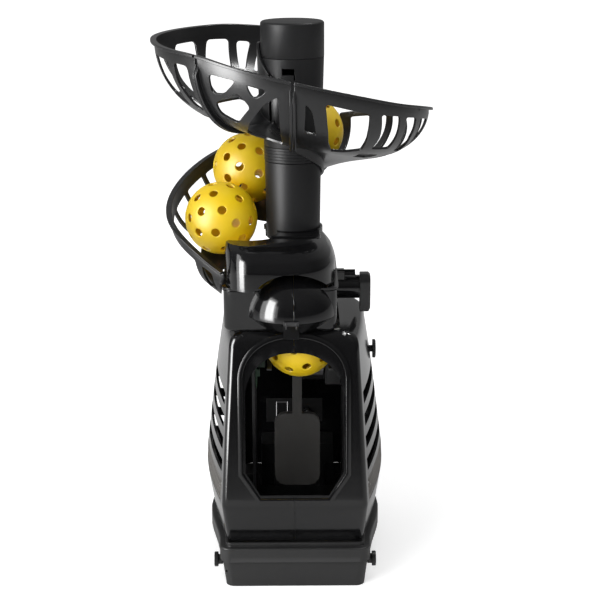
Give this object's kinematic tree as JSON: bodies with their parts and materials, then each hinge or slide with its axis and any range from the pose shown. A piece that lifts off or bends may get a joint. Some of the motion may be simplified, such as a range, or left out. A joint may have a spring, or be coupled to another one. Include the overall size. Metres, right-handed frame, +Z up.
{
  "type": "pickleball machine",
  "caption": "Free-standing ball thrower: a spiral ramp round a column feeds perforated balls to a gate, and a swinging paddle knocks them out through an arched window.",
  "frame": {"origin": "centre of the column's axis on the flat underside of the base, which stands on the floor", "axes": "+Z up along the column, +Y to the back, away from the window that throws, +X to the right as seen from the window's side"},
  "size_m": [0.2777, 0.2783, 0.5545],
  "materials": {
    "gloss_black": "high gloss moulded plastic",
    "satin_black": "satin moulded plastic",
    "matt_grey": "fine matt texture",
    "column_grey": "satin",
    "yellow": "satin",
    "zinc_steel": "zinc plated",
    "motor_can": "drawn can",
    "nylon": "natural nylon",
    "board_green": "circuit board"
  },
  "bodies": {
    "base": {"base_tray": "matt_grey"},
    "machine": {"tilt_frame": "matt_grey", "housing_left": "gloss_black", "housing_right": "gloss_black", "side_grille_left": "matt_grey", "side_grille_right": "matt_grey", "head_left": "gloss_black", "head_right": "gloss_black", "hood": "gloss_black", "front_catch": "satin_black", "column_lower": "column_grey", "column_ring": "column_grey", "column_upper": "column_grey", "column_cap": "column_grey", "hopper_back": "satin_black", "hopper_front": "satin_black", "track_upper": "satin_black", "track_lower": "satin_black", "mechanism_frame": "satin_black", "arm_shaft": "zinc_steel", "arm_spring": "zinc_steel", "gearbox": "satin_black", "drive_motor": "motor_can", "battery_box": "matt_grey", "rear_panel": "matt_grey", "charging_inlet": "satin_black", "control_board": "board_green", "tension_drum": "gloss_black"},
    "left_tilt_knob": {"tilt_knob_left": "satin_black"},
    "right_tilt_knob": {"tilt_knob_right": "satin_black"},
    "arm": {"throwing_arm": "matt_grey"},
    "cam": {"drive_cam": "nylon", "cam_shaft": "zinc_steel"},
    "left_finger": {"release_finger_left": "nylon"},
    "right_finger": {"release_finger_right": "nylon"},
    "door": {"battery_door": "gloss_black"},
    "switch": {"power_switch": "satin_black"},
    "side_knob": {"speed_knob": "satin_black"},
    "lever": {"tension_lever": "satin_black"},
    "first_ball": {"ball_1": "yellow"},
    "second_ball": {"ball_2": "yellow"},
    "third_ball": {"ball_3": "yellow"},
    "fourth_ball": {"ball_4": "yellow"},
    "fifth_ball": {"ball_5": "yellow"}
  },
  "joints": [
    {"name": "machine_tilt", "type": "hinge", "parent": "base", "child": "machine", "pos_m": [0, -0.09, 0.022], "axis": [1, 0, 0], "range_deg": [0, 10]},
    {"name": "left_tilt_knob_turn", "type": "hinge", "parent": "base", "child": "left_tilt_knob", "pos_m": [-0.0795, -0.09, 0.022], "axis": [-1, 0, 0], "range_deg": [-180, 180]},
    {"name": "right_tilt_knob_turn", "type": "hinge", "parent": "base", "child": "right_tilt_knob", "pos_m": [0.0795, -0.09, 0.022], "axis": [1, 0, 0], "range_deg": [-180, 180]},
    {"name": "arm_swing", "type": "hinge", "parent": "machine", "child": "arm", "pos_m": [0.003, 0.008, 0.238], "axis": [1, 0, 0], "range_deg": [-30, 18], "stiffness_Nm_per_rad": 0.5, "deforming": ["arm_spring"]},
    {"name": "cam_turn", "type": "hinge", "parent": "machine", "child": "cam", "pos_m": [0.018, 0.048, 0.228], "axis": [1, 0, 0], "continuous": true},
    {"name": "left_finger_drop", "type": "hinge", "parent": "machine", "child": "left_finger", "pos_m": [-0.025, 0.002, 0.21], "axis": [1, 0, 0], "range_deg": [0, 40], "stiffness_Nm_per_rad": 0.1, "springref_deg": -17.19},
    {"name": "right_finger_drop", "type": "hinge", "parent": "machine", "child": "right_finger", "pos_m": [0.037, 0.002, 0.21], "axis": [1, 0, 0], "range_deg": [0, 40], "stiffness_Nm_per_rad": 0.1, "springref_deg": -17.19},
    {"name": "door_open", "type": "hinge", "parent": "machine", "child": "door", "pos_m": [0, 0.112, 0.0523], "axis": [-1, 0, 0], "range_deg": [0, 95]},
    {"name": "switch_rock", "type": "hinge", "parent": "machine", "child": "switch", "pos_m": [-0.014, 0.1107, 0.1095], "axis": [1, 0, 0], "range_deg": [-8, 8]},
    {"name": "side_knob_turn", "type": "hinge", "parent": "machine", "child": "side_knob", "pos_m": [0.0834, 0.038, 0.205], "axis": [1, 0, 0], "range_deg": [0, 270]},
    {"name": "lever_turn", "type": "hinge", "parent": "machine", "child": "lever", "pos_m": [0.0703, -0.01, 0.287], "axis": [1, 0, 0], "range_deg": [0, 75]},
    {"name": "first_ball_roll", "type": "slide", "parent": "machine", "child": "first_ball", "axis": [0.9182, -0.105, 0.3821], "range_m": [0, 0.025]},
    {"name": "second_ball_lift", "type": "slide", "parent": "machine", "child": "second_ball", "axis": [-0.4649, -0.149, 0.8728], "range_m": [0, 0.025]},
    {"name": "third_ball_lift", "type": "slide", "parent": "machine", "child": "third_ball", "axis": [0.219, -0.5901, 0.7771], "range_m": [0, 0.025]},
    {"name": "fourth_ball_shift", "type": "slide", "parent": "machine", "child": "fourth_ball", "axis": [0, 1, 0], "range_m": [0, 0.006]},
    {"name": "fifth_ball_shift", "type": "slide", "parent": "machine", "child": "fifth_ball", "axis": [0, 1, 0], "range_m": [0, 0.002]}
  ],
  "couplings": [
    {"joint": "right_finger_drop", "follows": "left_finger_drop", "ratio": 1}
  ]
}
